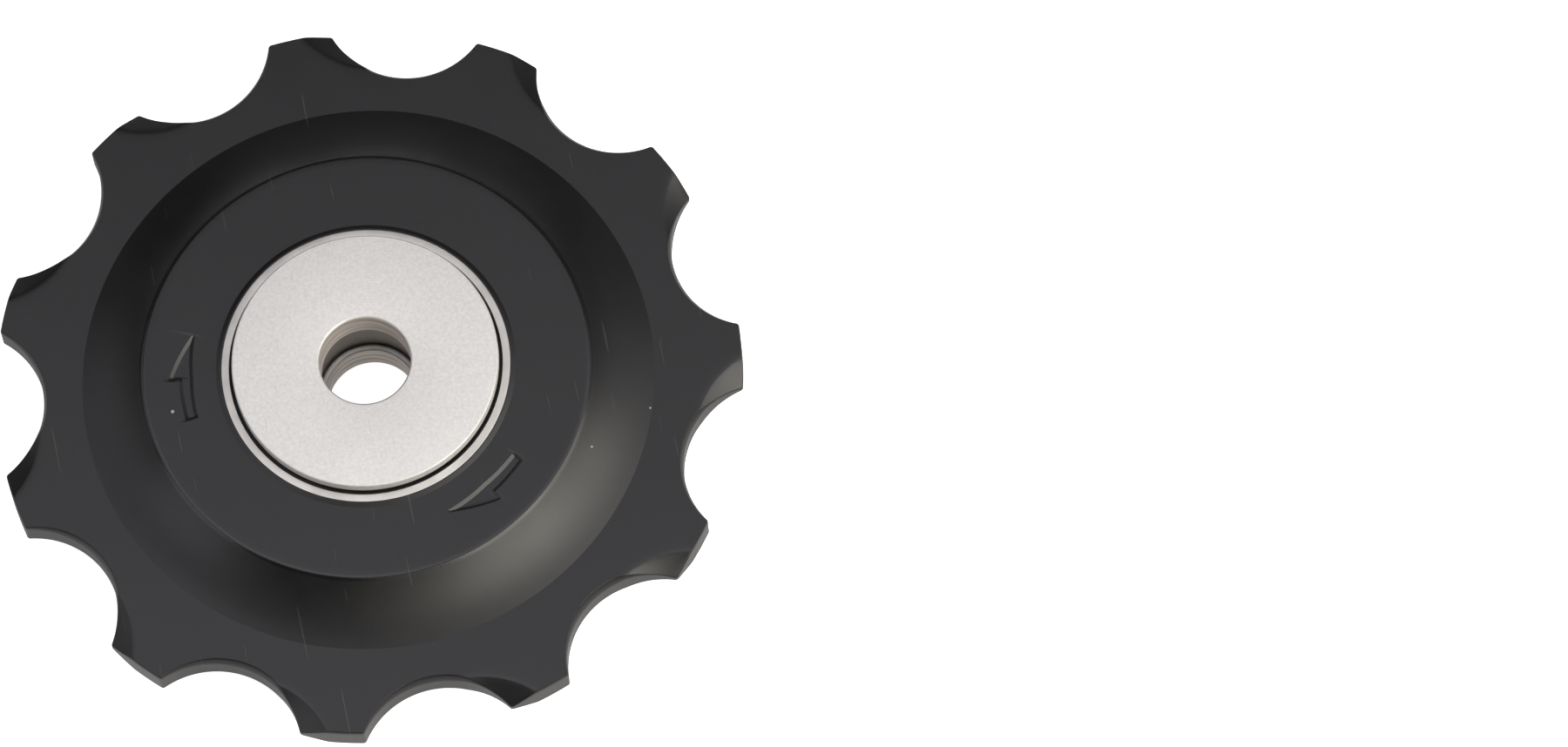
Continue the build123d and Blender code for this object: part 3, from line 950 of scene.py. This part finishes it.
cap_metal, tree, shader, place = new_material("turned_cap_metal", CAP_METAL, roughness=0.54, metallic=0.5)
marks = group_in(tree, marks_group, place, Pitch=0.00016, Waver=0.5)
grain = group_in(tree, grain_group, place, Scale=5200.0)
scratch = group_in(tree, scratch_group, place, Scale=420.0, Share=0.2)
face_tone = mixed(tree, grain["Height"], *CAP_TONES)
face_tone = mixed(tree, scratch["Mask"], face_tone, CAP_SCRATCH)
flattened = add_node(tree, "ShaderNodeMapping", {"Vector": place, "Scale": BORE_RINGS_SCALE}).outputs[0]
rings = noise(tree, flattened, 1.0, detail=3.0)
# Painted shade: the bore gets the darker, warmer tones, by its distance from the axle.
shaded_bore_tone = mixed(tree, ramp(tree, rings, *BORE_RINGS_RANGE), *CAP_BORE_SHADE_TONES)
bore_shade_mask = ramp(tree, marks["Radius"], *CAP_BORE_SHADE_ENDS, 1.0, 0.0)
tree.links.new(mixed(tree, bore_shade_mask, face_tone, shaded_bore_tone), shader.inputs["Base Color"])
tree.links.new(ramp(tree, grain["Mottle"], 0.0, 1.0, *CAP_ROUGHNESS), shader.inputs["Roughness"])
relief = combined(tree, "MULTIPLY_ADD", marks["Height"], CAP_MARKS_SHARE, grain["Height"])
bump(tree, shader, relief, CAP_RELIEF_DEPTH)

# %% [markdown]
# ## Steel and rubber of the bearing
#
# The rings are ground steel with very fine marks. The inner ring's bore is painted dark, as painted shade of
# the recess between the spigots. The balls are polished and the cage is pressed from sheet, with hairlines
# from the press. One steel could serve all three, but their gloss tells them apart, so each has its own. The
# seals are a dull black rubber with a little dust.

# %% Ring steel
RING_STEEL = (0.66, 0.66, 0.65)
RING_TONES = ((0.525, 0.513, 0.474), (0.64, 0.627, 0.582))
# Painted shade: the near-black tone given to the inner ring's bore.
RING_BORE_PAINTED_SHADE = (0.15, 0.132, 0.112)
RING_BORE_SHADE_ENDS = np.array([3.1, 3.3]) * MM
RING_ROUGHNESS = (0.36, 0.44)
RING_MARKS_DEPTH = 0.001

ring_steel, tree, shader, place = new_material("ground_ring_steel", RING_STEEL, roughness=0.26, metallic=1.0)
marks = group_in(tree, marks_group, place, Pitch=0.00009, Waver=0.2)
grain = group_in(tree, grain_group, place, Scale=9000.0)
tone = mixed(tree, grain["Mottle"], *RING_TONES)
# Painted shade: the inner ring's bore, between the two spigots, is painted near black.
bore_shade_mask = ramp(tree, marks["Radius"], *RING_BORE_SHADE_ENDS, 1.0, 0.0)
tree.links.new(mixed(tree, bore_shade_mask, tone, RING_BORE_PAINTED_SHADE), shader.inputs["Base Color"])
tree.links.new(ramp(tree, marks["Height"], 0.0, 1.0, *RING_ROUGHNESS), shader.inputs["Roughness"])
bump(tree, shader, marks["Height"], RING_MARKS_DEPTH)

# %% Ball and cage steel
BALL_STEEL = (0.68, 0.68, 0.69)
BALL_TONES = ((0.65, 0.65, 0.66), (0.7, 0.7, 0.71))
BALL_ROUGHNESS = (0.06, 0.12)
CAGE_STEEL = (0.5, 0.5, 0.49)
CAGE_TONES = ((0.46, 0.46, 0.45), (0.54, 0.54, 0.53))
CAGE_SCRATCH = (0.38, 0.38, 0.37)
CAGE_ROUGHNESS = (0.3, 0.42)
CAGE_GRAIN_DEPTH = 0.002

ball_steel, tree, shader, place = new_material("polished_ball_steel", BALL_STEEL, 0.08, metallic=1.0)
grain = group_in(tree, grain_group, place, Scale=12000.0)
tree.links.new(mixed(tree, grain["Mottle"], *BALL_TONES), shader.inputs["Base Color"])
tree.links.new(ramp(tree, grain["Mottle"], 0.0, 1.0, *BALL_ROUGHNESS), shader.inputs["Roughness"])

cage_steel, tree, shader, place = new_material("pressed_cage_steel", CAGE_STEEL, roughness=0.34, metallic=1.0)
grain = group_in(tree, grain_group, place, Scale=8000.0)
scratch = group_in(tree, scratch_group, place, Scale=300.0, Share=0.5)
tone = mixed(tree, grain["Mottle"], *CAGE_TONES)
tree.links.new(mixed(tree, scratch["Mask"], tone, CAGE_SCRATCH), shader.inputs["Base Color"])
tree.links.new(ramp(tree, grain["Mottle"], 0.0, 1.0, *CAGE_ROUGHNESS), shader.inputs["Roughness"])
bump(tree, shader, grain["Height"], CAGE_GRAIN_DEPTH)

# %% Seal rubber
RUBBER = (0.012, 0.012, 0.012)
RUBBER_TONES = ((0.009, 0.009, 0.009), (0.016, 0.016, 0.016))
RUBBER_DUST = (0.06, 0.058, 0.055)
RUBBER_ROUGHNESS = (0.52, 0.68)
RUBBER_GRAIN_DEPTH = 0.005

seal_rubber, tree, shader, place = new_material("seal_rubber_black", RUBBER, roughness=0.6)
grain = group_in(tree, grain_group, place, Scale=8000.0)
dust = group_in(tree, dust_group, place, Scale=1500.0, Size=0.12, Share=0.1)
tone = mixed(tree, grain["Mottle"], *RUBBER_TONES)
tree.links.new(mixed(tree, dust["Mask"], tone, RUBBER_DUST), shader.inputs["Base Color"])
tree.links.new(ramp(tree, grain["Mottle"], 0.0, 1.0, *RUBBER_ROUGHNESS), shader.inputs["Roughness"])
bump(tree, shader, grain["Height"], RUBBER_GRAIN_DEPTH)

# %% Give every piece its finish
finishes = {
    "wheel_plastic": plastic,
    "cap_metal": cap_metal,
    "bearing_steel": ring_steel,
    "seal_rubber": seal_rubber,
}
for piece, slot in new_pieces:
    piece.data.materials.append(finishes[slot])
for name, node in nodes.items():
    if name.startswith("ball_"):
        node.material_slots[0].material = ball_steel
    elif name.startswith("cage_"):
        node.material_slots[0].material = cage_steel
print("pieces with a finish of their own:", len(new_pieces))

# %% [markdown]
# ## The table
#
# The wheel lies on a plain white table, which is lit as usual, so that it keeps the shadow. It also glows
# for the camera, so that it reads as white paper. Stronger lamps would do that too, but they would wash out
# the wheel. In reflections it glows much less, so that the tooth walls stay dark, except below the bore,
# which mirrors it from close by. Far from the wheel it is dark in reflections, as a room is past a table.

# %% Table
TABLE_HALF = 1500.0
TABLE_WHITE = (0.86, 0.86, 0.86)
TABLE_TONES = ((0.85, 0.85, 0.85), (0.87, 0.87, 0.87))
FIBRE_SCALE = 400.0
GLOW_COLOUR = (1.0, 1.0, 1.0, 1.0)
GLOW_SEEN = 0.85
GLOW_MIRRORED = 0.1
GLOW_BELOW_BORE = 0.45
BELOW_BORE_ENDS = np.array([6.0, 12.0]) * MM
FAR_STARTS = np.array([50.0, 120.0]) * MM
FAR_MIRRORED = (0.12, 0.12, 0.12)

table_corners = np.array([[-1, -1], [1, -1], [1, 1], [-1, 1]]) * TABLE_HALF
table_points = np.column_stack([table_corners, np.full(len(table_corners), -CAP_TOP)]) * MM
table_mesh = bpy.data.meshes.new("table_top")
table_mesh.from_pydata(table_points.tolist(), [], [(0, 1, 2, 3)])
table = bpy.data.objects.new("table_top", table_mesh)
bpy.context.scene.collection.objects.link(table)

white_table, tree, shader, place = new_material("white_table", TABLE_WHITE, roughness=0.7)
ray = tree.nodes.new("ShaderNodeLightPath").outputs
way = add_node(tree, "ShaderNodeVectorMath", {0: place}, operation="LENGTH").outputs["Value"]
tone = mixed(tree, noise(tree, place, FIBRE_SCALE, detail=4.0), *TABLE_TONES)
far = combined(tree, "MULTIPLY", ray["Is Glossy Ray"], ramp(tree, way, *FAR_STARTS))
tree.links.new(mixed(tree, far, tone, FAR_MIRRORED), shader.inputs["Base Color"])
seen = combined(tree, "MULTIPLY", ray["Is Camera Ray"], GLOW_SEEN)
mirrored = combined(tree, "MAXIMUM", ray["Is Glossy Ray"], ray["Is Transmission Ray"])
mirrored_glow = ramp(tree, way, *BELOW_BORE_ENDS, GLOW_BELOW_BORE, GLOW_MIRRORED)
glow = combined(tree, "MULTIPLY_ADD", mirrored, mirrored_glow, seen)
shader.inputs["Emission Color"].default_value = GLOW_COLOUR
tree.links.new(glow, shader.inputs["Emission Strength"])
table_mesh.materials.append(white_table)
print("table at", -CAP_TOP, "mm")

# %% [markdown]
# ## The light
#
# What stood round the wheel is not known. A picture of a studio could light it, but this script reads no
# image, so nine soft lamps stand for one, each as bright as its side of the wheel shows. A wide one hangs
# above, where the flat faces and the caps mirror it. Three warm ones at the right and in front draw the
# gleam on the slope, and five weaker, cooler ones fill in the sides and the back.

# %% Lamps
COOL = (1.0, 0.975, 1.035)
WARM = (1.03, 0.995, 0.9)


def soft_light(name, colour, azimuth, elevation, distance, size, radiance):
    """Area light that faces the wheel, with its width and height. The azimuth starts at the picture's right.

    A flat lamp of area A that is to look as bright as a radiance L sends out pi times L times A watts.
    """
    lift = np.radians(elevation)
    towards = Vector([*direction(azimuth - PICTURE_TURN) * np.cos(lift), np.sin(lift)])
    lamp = bpy.data.lights.new(name, "AREA")
    lamp.shape = "RECTANGLE"
    lamp.size, lamp.size_y = size
    lamp.energy = np.pi * radiance * size[0] * size[1]
    lamp.color = colour
    light = bpy.data.objects.new(name, lamp)
    facing = towards.to_track_quat("Z", "Y").to_matrix().to_4x4()
    light.matrix_world = Matrix.Translation(towards * distance) @ facing
    bpy.context.scene.collection.objects.link(light)
    print(f"{name}: {lamp.energy:.2f} W, {size} m")


# Name, colour, azimuth and elevation in degrees, distance and size in metres, and radiance
LAMPS = [
    ("light_above", COOL, 96.0, 89.0, 0.25, (0.4, 0.2), 1.565),
    ("light_right", WARM, 350.0, 36.0, 0.6, (0.3, 0.32), 3.71),
    ("light_right_front", WARM, 320.0, 37.0, 0.6, (0.3, 0.36), 4.85),
    ("light_front", WARM, 290.0, 43.0, 0.6, (0.3, 0.36), 0.99),
    ("light_right_side", COOL, 20.0, 34.0, 0.6, (0.3, 0.3), 0.8),
    ("light_left", COOL, 203.0, 28.0, 0.6, (0.3, 0.3), 1.38),
    ("light_left_back", COOL, 165.0, 32.0, 0.6, (0.3, 0.3), 0.84),
    ("light_back", COOL, 92.0, 14.0, 0.6, (0.5, 0.25), 0.21),
    ("light_right_back", COOL, 55.0, 22.0, 0.6, (0.3, 0.3), 0.08),
]
for lamp_settings in LAMPS:
    soft_light(*lamp_settings)

# %% World
WORLD_COLOUR = (1.0, 1.0, 1.0, 1.0)
WORLD_STRENGTH = 0.02

world = bpy.data.worlds.new("studio")
bpy.context.scene.world = world
world.use_nodes = True
background = world.node_tree.nodes["Background"]
background.inputs["Color"].default_value = WORLD_COLOUR
background.inputs["Strength"].default_value = WORLD_STRENGTH
bpy.context.scene.view_settings.view_transform = "Standard"
print("world strength:", WORLD_STRENGTH)
